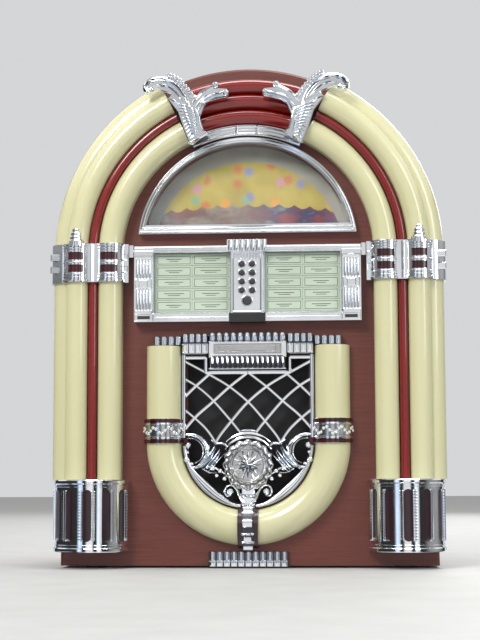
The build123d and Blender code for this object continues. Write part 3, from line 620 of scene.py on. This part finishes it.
def build_grille():
    """Crossed bars above; scrolls, feathers and the star medallion below."""
    grille = Piece("grille_looks")
    back = 1.0
    bars = (
        [(-42.1, 134.8), (-26.1, 126.1), (-12.8, 118.1), (0.0, 107.5), (9.9, 96.2), (18.4, 85.7),
         (22.0, 79.6)],
        [(-42.7, 123.4), (-34.0, 118.0), (-24.1, 109.4), (-11.4, 94.9), (-5.4, 87.4)],
        [(-42.6, 102.8), (-34.0, 95.6), (-27.3, 88.9), (-21.4, 80.4)],
        [(0.0, 127.2), (11.8, 118.1), (23.8, 107.4), (33.7, 98.9), (42.0, 89.6)],
        [(25.8, 126.1), (35.0, 118.0), (42.4, 110.8)],
    )
    for bar in bars:
        grille.ridge(smooth_path(bar, 5), 2.5, back, 3.9, square=0.5)
    corner = [(-41.6, 137.2), (-28.0, 137.2), (-28.0, 127.2), (0.4, 127.2)]
    for start, end in zip(corner, corner[1:]):
        grille.ridge([start, end], 2.9, back, 4.1, square=0.5)
    grille.ridge([(-42.5, 139.0), (-42.5, 84.0)], 3.0, back, 4.3, square=0.6)

    scroll = smooth_path([
        (-42.8, 85.8), (-37.6, 86.0), (-32.2, 84.0), (-28.2, 79.6), (-27.2, 74.0), (-28.8, 68.8),
        (-32.6, 65.2), (-37.6, 64.2),
    ])
    grille.ridge(scroll, (2.2, 3.4, 3.8, 3.6, 2.4), back, (3.8, 4.4, 4.8, 4.2))
    inner = [(-39.6, 83.6), (-34.6, 82.6), (-30.8, 79.0), (-29.8, 74.2), (-31.4, 69.8), (-35.4, 67.2)]
    grille.ridge(smooth_path(inner), (0.8, 1.3, 0.8), 3.4, 5.2, sides=5)
    for x, z, radius in ((-39.8, 79.0, 2.3), (-40.2, 74.4, 1.3), (-40.6, 69.4, 2.3), (-37.4, 67.0, 1.2)):
        grille.ball(x, z, 3.0, radius, flat=0.9)

    strands = 6
    for i in range(strands):
        shift = (i - (strands - 1) / 2) * 1.6
        stagger = 1.3 if i % 2 else -0.6
        start = (-30.6 + shift * 0.9 - stagger, 63.0 - shift * 0.45 - stagger)
        end = (-19.6 + shift * 1.05 + stagger, 78.0 - shift * 0.9 + stagger)
        middle = ((start[0] + end[0]) / 2 + 0.9 - 0.1 * shift, (start[1] + end[1]) / 2 - 0.4)
        grille.ridge(smooth_path([start, middle, end], 5), (0.9, 2.0, 0.9), back, (3.6, 6.2, 4.0), sides=5)
    for points, wide, high in (
        ([(-21.0, 79.8), (-17.0, 80.2), (-13.6, 77.6)], 2.8, 5.0),
        ([(-24.6, 82.6), (-21.6, 80.4), (-19.0, 80.8)], 1.8, 4.6),
        ([(-27.6, 64.6), (-22.6, 64.4), (-17.6, 61.8), (-14.6, 58.6)], 2.4, 4.6),
        ([(-30.4, 63.6), (-25.4, 61.0), (-20.4, 60.8)], 1.6, 4.2),
    ):
        grille.ridge(smooth_path(points, 5), (0.7 * wide, wide, 0.7 * wide), back, high)
    for x, z, radius in ((-23.4, 64.0, 1.9), (-18.4, 62.0, 1.7), (-20.8, 59.0, 1.4), (-15.6, 57.0, 1.5)):
        grille.ball(x, z, 4.0, radius, flat=0.9)

    steps = 28
    depths = []
    crescent = []
    for i in range(steps + 1):
        t = i / steps
        depth = 2.8 + 3.6 * sin(pi * min(1.0, max(0.0, (t - 0.18) / 0.76))) ** 1.3
        depths.append(depth)
        crescent.append(rim_point(43.6 - depth / 2, 177 - 80 * t))
    grille.ridge(crescent, depths, back, 4.4, sides=11, square=0.8)
    lip = [rim_point(42.9, 177 - 80 * i / steps) for i in range(steps + 1)]
    grille.ridge(lip, 1.3, back, 4.7, sides=5)
    curl = smooth_path([
        (-2.6, 41.6), (-5.2, 44.6), (-7.4, 49.4), (-10.4, 52.6), (-14.2, 52.0), (-15.6, 48.6),
        (-13.8, 45.6), (-11.2, 46.2),
    ])
    grille.ridge(curl, (3.4, 2.6, 2.2, 2.0, 1.8, 1.2), back, (4.6, 5.0, 4.8, 4.2))
    grille.ball(-12.0, 48.4, 3.0, 2.3, flat=0.9)
    grille.mirror()

    for radius, wide, high, half_deg in ((18.4, 2.6, 5.2, 56), (20.9, 2.4, 4.4, 44), (22.8, 2.0, 4.8, 12)):
        path = arc(0, MEDALLION_Z, radius, 90 - half_deg, 90 + half_deg, 20)
        grille.ridge(path, (1.2, wide, wide, 1.2), back, (3.4, high, high, 3.4), square=0.7)
    build_medallion(grille)
    for row, (z, half) in enumerate(((50.4, 7.2), (47.2, 6.6), (44.2, 6.0), (41.2, 5.2), (38.2, 4.4))):
        dip = 1.4 if row % 2 else -0.6
        chevron = smooth_path([(-half, z + 0.8), (0, z - dip), (half, z + 0.8)], 5)
        grille.ridge(chevron, (1.2, 2.4, 1.2), back, (4.2, 6.0, 4.2), sides=5)
    grille.block((-4.4, 4.4), (36.9, 52.0), back, 3.6, 0.5)
    grille.make(replaces=("grille",))


def build_medallion(grille):
    """Scalloped rim with bosses, a raised ring, and a star whose facets are painted bright and shaded in
    turn.
    """
    z = MEDALLION_Z
    points = 16
    rim = [
        (15.6, 1.0), (16.4, 2.2), (16.6, 4.4), (15.8, 5.6), (14.2, 6.2), (12.9, 5.4), (12.5, 4.6), (2.0, 4.6),
    ]
    # The rim and the raised ring are in the darker chrome: painted shade.
    grille.turned(0, z, rim, "worn", segments=96, scallops=points, depth=0.035)
    for i in range(points):
        turn = 2 * pi * (i + 0.5) / points
        grille.ball(14.4 * cos(turn), z + 14.4 * sin(turn), 5.7, 1.15, segments=8)
    disc = [(11.9, 4.4), (11.9, 6.2), (11.2, 7.0), (10.4, 6.8), (10.0, 6.0), (2.0, 6.2)]
    grille.turned(0, z, disc, "worn")
    star = []
    for i in range(2 * points):
        turn = pi * i / points
        long = 9.9 if i % 4 == 0 else (8.4 if i % 2 == 0 else 4.6)
        high = 6.4 if i % 2 == 0 else 6.2
        star.append((long * cos(turn), z + long * sin(turn), high))
    for i in range(2 * points):
        facet = [star[i], star[(i + 1) % (2 * points)], (0, z, 8.3), (0, z, 5.8)]
        # Pairs of facets alternate bright chrome and the darker chrome: painted highlight and shade on the
        # star.
        look = "ornament" if i % 4 in (0, 1) else "worn"
        grille.add(facet, [(0, 1, 2), (1, 0, 3), (0, 2, 3), (2, 1, 3)], look)
    for i in range(8):
        turn = 2 * pi * (i + 0.5) / 8
        path = [(6.2 * cos(turn), z + 6.2 * sin(turn)), (9.6 * cos(turn), z + 9.6 * sin(turn))]
        grille.ridge(path, (0.8, 1.6), 6.0, (6.6, 7.2), sides=5)


def middles(x, count):
    """The middle of each of a number of equal shares between two X."""
    pitch = (x[1] - x[0]) / count
    return [x[0] + pitch * (i + 0.5) for i in range(count)]


def ribs(piece, x, z, low, high, count, share=0.8):
    """Upright round-topped ribs, evenly spaced across a band; each fills a share of its pitch."""
    wide = share * (x[1] - x[0]) / count
    for middle in middles(x, count):
        path = [(middle, z[0]), (middle, z[0] + 0.4), (middle, z[1] - 0.4), (middle, z[1])]
        piece.ridge(path, (0.7 * wide, wide, wide, 0.7 * wide), low, high, square=0.8)


def build_grille_crown():
    """The stepped, ribbed head over the speaker, with a blank plaque and a fluted drum below it."""
    crown = Piece("grille_crown_looks")
    crown.block((-25.8, 25.8), (137.0, 148.2), 0.2, 7.0, 0.5)
    # The plaque's steps are in the darker chrome: painted shade.
    crown.block((-22.6, 22.6), (139.4, 146.2), 6.5, 7.9, 0.9, "worn")
    crown.block((-19.0, 19.0), (140.8, 144.8), 7.5, 8.4, 0.5, "worn")
    for z in (138.0, 147.4):
        crown.ridge([(-23.6, z), (23.6, z)], 0.9, 6.8, 8.2, sides=5)
    # Dark chrome under the crest ribs: painted shade between them.
    crown.block((-25.8, 25.8), (148.0, 153.0), 0.2, 6.0, 0.4, "groove")
    crest, crest_ribs = (-25.6, 25.6), 11
    ribs(crown, crest, (148.3, 153.4), 5.6, 8.9, crest_ribs)
    for x in middles(crest, crest_ribs):
        crown.ball(x, 152.2, 8.0, 1.75, segments=10)
    # Dark chrome under the drum ribs: painted shade between them.
    crown.block((-25.0, 25.0), (129.3, 137.0), 0.2, 8.6, 0.8, "groove")
    drum, drum_ribs = (-24.9, 24.9), 15
    ribs(crown, drum, (129.6, 136.4), 7.6, 11.8, drum_ribs, 0.78)
    for x in middles(drum, drum_ribs):
        crown.ball(x, 136.2, 9.6, 1.25, segments=8)
    crown.ridge([(-25.6, 129.6), (25.6, 129.6)], 1.2, 4.0, 9.4, sides=5)
    for side in (-1, 1):
        shoulder = sorted((side * 26.2, side * 43.7))
        # Dark chrome under the shoulder and tube-top ribs: painted shade between them.
        crown.block(shoulder, (139.6, 152.2), 0.2, 5.4, 0.4, "groove")
        ribs(crown, shoulder, (147.2, 152.8), 4.8, 8.0, 4)
        for x in middles(shoulder, 4):
            crown.block((x - 1.9, x + 1.9), (140.2, 146.4), 5.2, 7.6, 1.2)
        crown.ridge([(x, 139.9) for x in shoulder], 1.0, 4.0, 6.6, sides=5)
        tube_top = sorted((side * 43.9, side * 62.7))
        crown.block(tube_top, (145.2, 151.2), 0.2, 5.0, 0.4, "groove")
        ribs(crown, tube_top, (145.5, 151.2), 4.6, 7.9, 4)
    crown.make(replaces=("grille_crown",))


def build_bottom_trim():
    """Ribs over a row of square studs, at the foot of the front."""
    trim = Piece("bottom_trim_looks")
    # Dark chrome under the ribs and studs: painted shade between them.
    trim.block((-26.2, 26.2), (-0.5, 9.2), 0.1, 2.4, 0.4, "groove")
    span, count = (-26.0, 26.0), 11
    ribs(trim, span, (3.6, 9.2), 2.0, 5.0, count, 0.82)
    trim.ridge([(x, 3.2) for x in span], 1.0, 2.6, 4.0, sides=5)
    for x in middles(span, count):
        trim.block((x - 1.9, x + 1.9), (-0.3, 2.9), 2.6, 4.9, 1.1)
    trim.make(replaces=("bottom_trim",))


def build_u_bands():
    """Dark red rings above and below, and a raised wave between them, on each chrome band."""
    bands = Piece("u_band_looks")
    rings = Piece("u_band_rings", "ring_red")
    for low in (80.3, 93.7):
        rings.sleeve(U_TUBE, 1.75, low, low + 2.6)
    # The band under the beads is the darker chrome: painted shade between them.
    bands.sleeve(U_TUBE, 1.6, 84.2, 92.4, "worn")
    for z in (83.4, 92.2):
        bands.sleeve(U_TUBE, 1.95, z, z + 1.2)
    middle_x = (U_TUBE[0] + U_TUBE[1]) / 2
    radius = U_TUBE_R + 1.3
    middle_z, swing = 88.4, 2.1
    beads = 19
    for i in range(beads):
        lean = radians(8 + 164 * i / (beads - 1))
        x = middle_x + radius * cos(lean)
        proud = U_TUBE_FLANK + radius * sin(lean)
        bands.ball(x, middle_z + swing * sin(i * pi / 2.5), proud + 0.1, 1.35, flat=0.8, segments=10)
    for piece, slot in ((bands, "chrome"), (rings, "red_strip")):
        piece.mirror()
        piece.make(slot=slot)


def build_clasp():
    """Chrome column between dark cheeks, over the tube at the foot of the U."""
    clasp = Piece("u_clasp_looks")
    strap_r = U_TUBE_R + 1.7
    middle_z = U_CENTRE_Z - (U_TUBE[0] + U_TUBE[1]) / 2

    def over(radius, lean):
        """Height and proud of a point over the tube's round front, which leans from bottom to top."""
        return middle_z - radius * cos(lean), U_TUBE_FLANK + radius * sin(lean)

    def strap(x_low, x_high, grow, look, start_deg=4, end_deg=176, steps=24):
        """A strap from bottom to top over the tube, between two X."""
        edge = 0.25
        rings = []
        for i in range(steps + 1):
            lean = radians(start_deg + (end_deg - start_deg) * i / steps)
            outer = over(strap_r + grow, lean)
            inner = over(strap_r - 1.2, lean)
            rings.append([(x_low, *inner), (x_high, *inner), (x_high - edge, *outer), (x_low + edge, *outer)])
        clasp.loft(rings, look)

    strap(-6.7, 6.7, 0.0, "plum")
    # Dark chrome down the column, showing between its rings: painted shade.
    strap(-3.3, 3.3, 0.5, "groove")
    for side in (-1, 1):
        strap(*sorted((side * 5.9, side * 6.9)), 0.35, "ring_red")
    for lean_deg, wide, high in ((24, 3.6, 2.3), (48, 4.3, 1.1), (59, 3.0, 2.2), (74, 4.3, 1.0),
                                 (104, 3.6, 3.4), (136, 4.3, 1.2), (152, 3.6, 2.4)):
        z, proud = over(strap_r + 0.3, radians(lean_deg))
        rings = []
        for x, share in ((-wide, 0.5), (-wide + 0.6, 1.0), (wide - 0.6, 1.0), (wide, 0.5)):
            turns = [2 * pi * i / 12 for i in range(12)]
            tall, deep = 0.9 * high * share, high * share
            rings.append([(x, z + tall * cos(turn), proud + deep * sin(turn)) for turn in turns])
        clasp.loft(rings)
    clasp.make(replaces=("u_clasp",))


# ---------------- collars and feet

def build_collar_trim():
    """Hoops round the barrels of the collars, square studs beside them, and a rib between each pair."""
    trim = Piece("collar_trim", "chrome")
    for section in (TUBE_INNER, TUBE_OUTER):
        for low, high, grow in (
            (187.6, 189.6, 2.5), (190.6, 191.6, 2.3), (192.4, 193.2, 2.15), (200.2, 201.2, 2.2),
            (208.4, 209.2, 2.15), (210.0, 211.0, 2.3), (211.8, 213.4, 2.5),
        ):
            trim.sleeve(section, grow, low, high)
    for z in (194.2, 202.5):
        trim.block((125.4, 132.0), (z, z + 4.6), 7.5, 10.6, 0.9)
        trim.block((79.6, 83.4), (z, z + 4.6), 7.5, 10.2, 0.8)
        trim.block((101.4, 105.2), (z, z + 4.6), 9.0, 12.8, 0.8)
    trim.ridge([(103.2, 188.0), (103.2, 213.0)], (2.6, 3.6, 3.6, 2.6), 12.0, 15.2)
    trim.mirror()
    trim.make()


def foot_at(turn_deg, sideways, reach, z):
    """A point by the right foot's own axis: turned about it, then sideways and out."""
    turn = radians(turn_deg)
    return (FOOT_X + reach * sin(turn) + sideways * cos(turn), z, reach * cos(turn) - sideways * sin(turn))


def build_feet_trim():
    """Serrations along the feet's bars, and hoops round their top and bottom."""
    trim = Piece("feet_trim", "chrome")
    teeth = 17
    for turn_deg in (-69.5, -39.5, -9.5, 9.5, 39.5, 69.5):
        for i in range(teeth):
            z = 18.0 + 30.4 * i / (teeth - 1)
            rings = []
            for reach, half, tall in ((0.6, 1.25, 0.62), (1.5, 1.2, 0.62), (1.8, 0.8, 0.3)):
                corners = ((-half, -tall), (half, -tall), (half, tall), (-half, tall))
                rings.append([foot_at(turn_deg, across, FOOT_R + reach, z + up) for across, up in corners])
            trim.loft(rings)
    steps = 40
    for levels in (
        ((24.9, 9.6), (25.5, 10.1), (25.5, 11.8), (24.9, 12.4)),
        ((24.7, 13.2), (24.9, 13.4), (24.9, 14.0), (24.7, 14.2)),
        ((24.7, 51.6), (24.9, 51.8), (24.9, 52.4), (24.7, 52.6)),
        ((24.9, 53.4), (25.5, 54.0), (25.5, 55.8), (24.9, 56.4)),
    ):
        rings = []
        for reach, z in levels:
            outer = [foot_at(-89 + 178 * i / steps, 0, reach, z) for i in range(steps + 1)]
            inner = [foot_at(89 - 178 * i / steps, 0, FOOT_R - 1.0, z) for i in range(steps + 1)]
            rings.append(outer + inner)
        trim.loft(rings)
    trim.mirror()
    trim.make()


# ---------------- window

def build_window_trim():
    """Beads round the half-moon frame and along its foot, and the beaded arc over it."""
    trim = Piece("window_trim", "chrome")
    foot_z = 224.0
    for radius, wide, high in ((72.4, 1.8, 7.0), (70.5, 1.1, 6.7)):
        edge_deg = degrees(asin((foot_z - WINDOW_Z) / radius))
        trim.ridge(arc(0, WINDOW_Z, radius, edge_deg, 180 - edge_deg, 64), wide, 5.4, high)
    for z, half in ((221.9, 72.0), (224.6, 70.6)):
        trim.ridge([(-half, z), (-half + 1, z), (half - 1, z), (half, z)], (1.2, 2.0, 2.0, 1.2), 5.4, 7.0)
    trim.make()
    arc_trim = Piece("crown_arc_beads", "chrome")
    for radius, wide, high in ((80.4, 1.7, 10.0), (85.0, 1.7, 10.0), (82.7, 1.0, 9.6)):
        for start, end in ((63.6, 84.6), (85.8, 94.2), (95.4, 116.4)):
            arc_trim.ridge(arc(0, ARCH_Z, radius, start, end, 24), wide, 8.6, high)
    for turn_deg in (85.2, 94.8):
        turn = radians(turn_deg)
        path = [(r * cos(turn), ARCH_Z + r * sin(turn)) for r in (79.4, 80.4, 85.2, 86.2)]
        arc_trim.ridge(path, (1.4, 2.2, 2.2, 1.4), 8.2, 10.4, sides=5)
    arc_trim.make()


# ---------------- title door

def build_title_trim():
    """Fluted pilasters with studs, framing beads and foot brackets on the title door."""
    trim = Piece("title_trim", "chrome")
    trim.ridge([(-75.2, 210.9), (75.2, 210.9)], 1.6, 7.8, 9.3)
    trim.ridge([(-75.2, 208.9), (75.2, 208.9)], 0.9, 7.8, 9.0, sides=5)
    for side in (-1, 1):
        centre = side * 69.3
        for z in ((169.4, 182.6), (190.4, 202.6)):
            ribs(trim, (centre - 5.2, centre + 5.2), z, 9.3, 10.5, 5, 0.72)
        for half, z, low, high in (
            (6.0, (165.8, 168.8), 8.2, 10.6), (6.0, (203.2, 205.4), 8.2, 10.6),
            (5.6, (183.0, 190.0), 9.0, 10.4), (3.0, (183.9, 189.1), 10.2, 11.0),
        ):
            trim.block((centre - half, centre + half), z, low, high, 0.5)
        low_x, high_x = sorted((side * 11.0, side * 62.9))
        border = [(low_x, 166.6), (high_x, 166.6), (high_x, 207.8), (low_x, 207.8), (low_x, 166.6)]
        for start, end in zip(border, border[1:]):
            trim.ridge([start, end], 1.0, 8.0, 9.2, sides=5)
        trim.ridge([(x, 163.6) for x in sorted((side * 13.0, side * 61.0))], 1.8, 7.8, 9.2)
        foot = sorted((side * 62.6, side * 75.4))
        trim.block(foot, (161.2, 166.2), 7.8, 10.2, 0.6)
        trim.block((foot[0] + 2.2, foot[1] - 2.2), (162.6, 164.8), 10.0, 10.45, 0.15, "knob")
    trim.make("title_door")


def build_labels():
    """Blank title labels in five rows of two a side: a printed border and two dashes for a title."""
    labels = Piece("title_labels", "cards")
    ink = Piece("title_label_lines", "ink")
    rows, columns = 5, 2
    low_z, high_z = 168.0, 206.8
    pitch_x, pitch_z = 49.4 / columns, (high_z - low_z) / rows
    line = 0.32
    for side in (-1, 1):
        low_x = min(side * 12.2, side * 61.6)
        for row in range(rows):
            for column in range(columns):
                x = (low_x + pitch_x * column + 0.3, low_x + pitch_x * (column + 1) - 0.3)
                z = (low_z + pitch_z * row + 0.25, low_z + pitch_z * (row + 1) - 0.25)
                labels.block(x, z, 4.3, 4.9, 0.15)
                left, right, low, high = x[0] + 1.0, x[1] - 1.0, z[0] + 0.9, z[1] - 0.9
                centre, height = (left + right) / 2, (low + high) / 2
                dash = 5.2 + 1.6 * ((row * 3 + column * 2) % 4) / 3
                for printed_x, printed_z in (
                    ((left, right), (low, low + line)),
                    ((left, right), (high - line, high)),
                    ((left, left + line), (low + line, high - line)),
                    ((right - line, right), (low + line, high - line)),
                    ((centre - dash, centre + dash), (height + 0.35, height + 0.8)),
                    ((centre - dash * 0.6, centre + dash * 0.6), (height - 0.9, height - 0.5)),
                ):
                    ink.block(printed_x, printed_z, 4.8, 4.98, 0.02)
    labels.make("title_door", "cards")
    ink.make("title_door", "cards")


def build_keypad_trim():
    """Ribbed cresting over the keypad, its bevelled border, and a collar round each button."""
    trim = Piece("keypad_trim", "chrome")
    ribs(trim, (-13.0, 13.0), (207.6, 215.2), 11.4, 12.6, 7, 0.72)
    trim.ridge([(-13.1, 207.7), (13.1, 207.7)], 1.0, 11.0, 12.6, sides=5)
    ribs(trim, (-9.4, 9.4), (203.4, 206.6), 9.2, 10.7, 9, 0.7)
    for x in (-9.1, 9.1):
        trim.ridge([(x, 166.9), (x, 202.8)], 1.1, 9.2, 10.3, sides=5)
    trim.ridge([(-9.4, 202.8), (9.4, 202.8)], 0.9, 9.2, 10.2, sides=5)
    trim.ridge([(-9.4, 167.3), (9.4, 167.3)], 1.1, 9.2, 10.3, sides=5)
    for node in [f"button_{number}" for number in range(1, 9)] + ["select_button"]:
        low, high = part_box(node)
        x = (low.x + high.x) / 2 / MM
        z = ((low.z + high.z) / 2 - UNDER) / MM
        radius = (high.x - low.x) / 2 / MM
        trim.ridge(arc(x, z, radius - 0.1, 0, 360, 28), 0.8, 9.3, 10.4, sides=6)
    trim.make("title_door")


def build_dial_face():
    """Scale marks and generic numbers over the tuning slot, and dots round the volume knob."""
    face = Piece("dial_face", "legend")
    panel = -14.05
    dial_left, mark_top = -20, 200.0
    for step in range(21):
        x = dial_left + 2.0 * step
        tall = 3.2 if step % 4 == 0 else 1.8
        face.block((x - 0.15, x + 0.15), (mark_top - tall, mark_top), panel, panel + 0.15, 0.02)
    for x, z in arc(-45, 187, 12.4, -50, 230, 10):
        face.turned(x, z, [(0.5, panel), (0.5, panel + 0.12), (0.35, panel + 0.15)], segments=12)
    face.make(slot="pointer")
    for step, number in enumerate(("88", "92", "96", "100", "104", "108")):
        text = bpy.data.curves.new(f"dial_number_{number}_text", "FONT")
        text.body = number
        text.size = 3.0 * MM
        text.align_x = "CENTER"
        text.extrude = 0.08 * MM
        holder = bpy.data.objects.new(f"dial_number_{number}_holder", text)
        mesh = bpy.data.meshes.new_from_object(holder)
        bpy.data.objects.remove(holder)
        mesh.transform(Matrix.Rotation(pi / 2, 4, "X"))
        mesh.transform(Matrix.Translation(at(dial_left + 8 * step, mark_top + 1.2, panel + 0.08)))
        mesh.materials.clear()
        mesh.materials.append(MATERIALS["legend"])
        label = add_object(f"dial_number_{number}", mesh)
        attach(label, "cabinet")


# ---------------- studio

def build_floor():
    """A pale floor, left out of reflections so that the chrome shows the studio's bands to the ground."""
    mesh = bpy.data.meshes.new("floor")
    half = 6.0
    corners = [(-half, -half, FLOOR), (half, -half, FLOOR), (half, half, FLOOR), (-half, half, FLOOR)]
    mesh.from_pydata(corners, [], [(0, 1, 2, 3)])
    material, tree, principled = shader("pale floor", (0.45, 0.45, 0.445), 0.7)
    grain = ramp(tree, noise(tree, 30), (0.3, (0.43, 0.43, 0.425)), (0.7, (0.47, 0.47, 0.465)))
    feed(tree, principled, {"Base Color": grain})
    clear_for(tree, principled, "Is Glossy Ray")
    mesh.materials.append(material)
    floor = add_object("floor", mesh)


def build_lights():
    """Soft boxes to the upper left, the right, overhead and behind, aimed at the middle of the jukebox."""
    target = at(0, 165, 0)
    for name, place, size, watts, tone in (
        ("key", (-0.75, -1.35, 1.25), (0.6, 0.6), 20.0, (1.0, 0.98, 0.94)),
        ("fill", (1.25, -1.05, 0.75), (0.5, 1.0), 8.0, (0.92, 0.96, 1.0)),
        ("top", (0.05, -0.15, 1.55), (1.2, 0.5), 14.0, (1.0, 1.0, 1.0)),
        ("back", (0.35, 1.5, 0.95), (0.9, 0.9), 14.0, (1.0, 0.99, 0.97)),
    ):
        light = bpy.data.lights.new(name, "AREA")
        light.shape = "RECTANGLE"
        light.size, light.size_y = size
        light.energy = watts
        light.color = tone
        lamp = add_object(name, light)
        lamp.location = place
        lamp.rotation_euler = (target - Vector(place)).to_track_quat("-Z", "Y").to_euler()


def build_world():
    """Pale where the camera sees it; light and dark bands to every other ray, for the chrome."""
    world = bpy.data.worlds.new("studio")
    bpy.context.scene.world = world
    world.use_nodes = True
    tree = world.node_tree
    background = tree.nodes["Background"]
    x, z = split_coordinates(tree, "Generated")
    across = math_node(tree, "MULTIPLY_ADD", x, 0.5, 0.5)
    height = math_node(tree, "MULTIPLY_ADD", z, 0.5, 0.5)
    upright = ramp(
        tree, across,
        (0.0, 0.03), (0.18, 0.03), (0.23, (0.95, 1.10, 1.35)), (0.29, (0.7, 0.85, 1.1)), (0.32, 0.02),
        (0.38, 0.03), (0.43, 0.85), (0.57, 0.90), (0.61, 0.02), (0.67, 0.03), (0.71, (1.1, 1.2, 1.35)),
        (0.78, 0.8), (0.81, 0.02), (0.90, 0.04), (1.0, 0.35),
    )
    level = ramp(
        tree, height,
        (0.0, 0.30), (0.44, 0.20), (0.56, 0.50), (0.585, 0.62), (0.615, 0.46), (0.635, 0.70), (0.655, 0.04),
        (0.69, 0.05), (0.73, 1.1), (0.84, 1.1), (0.88, 0.3), (1.0, 0.7),
    )
    raised = ramp(tree, height, (0.54, 0.0), (0.62, 1.0))
    bands = mix_colour(tree, raised, upright, level)
    from_camera = add_node(tree, "LightPath").outputs["Is Camera Ray"]
    backdrop = (0.66, 0.67, 0.68, 1)
    feed(tree, background, {"Color": mix_colour(tree, from_camera, bands, backdrop), "Strength": 1.0})


def build_camera():
    """The photograph's own viewpoint: close, low, a little to the right, and tipped up."""
    place = Vector((54.8, -1049.6, 54.4)) * MM
    yaw, pitch, roll = radians(3.45), radians(6.27), radians(-0.18)
    forward = Vector((-sin(yaw) * cos(pitch), cos(yaw) * cos(pitch), sin(pitch)))
    right = Vector((cos(yaw), sin(yaw), 0))
    up = right.cross(forward)
    turned_right = cos(roll) * right + sin(roll) * up
    turned_up = cos(roll) * up - sin(roll) * right
    data = bpy.data.cameras.new("camera")
    data.sensor_width = 36
    data.lens = 84.375
    data.clip_start = 0.05
    camera = add_object("camera", data)
    axes = Matrix((turned_right, turned_up, -forward)).transposed().to_4x4()
    camera.matrix_world = Matrix.Translation(place) @ axes
    bpy.context.scene.camera = camera


dress_cad_nodes()
for wing_side in ("left", "right"):
    build_wing(wing_side)
build_grille()
build_grille_crown()
build_bottom_trim()
build_u_bands()
build_clasp()
build_collar_trim()
build_feet_trim()
build_window_trim()
build_title_trim()
build_labels()
build_keypad_trim()
build_dial_face()
build_floor()
build_lights()
build_world()
build_camera()
bpy.context.scene.view_settings.view_transform = "Standard"
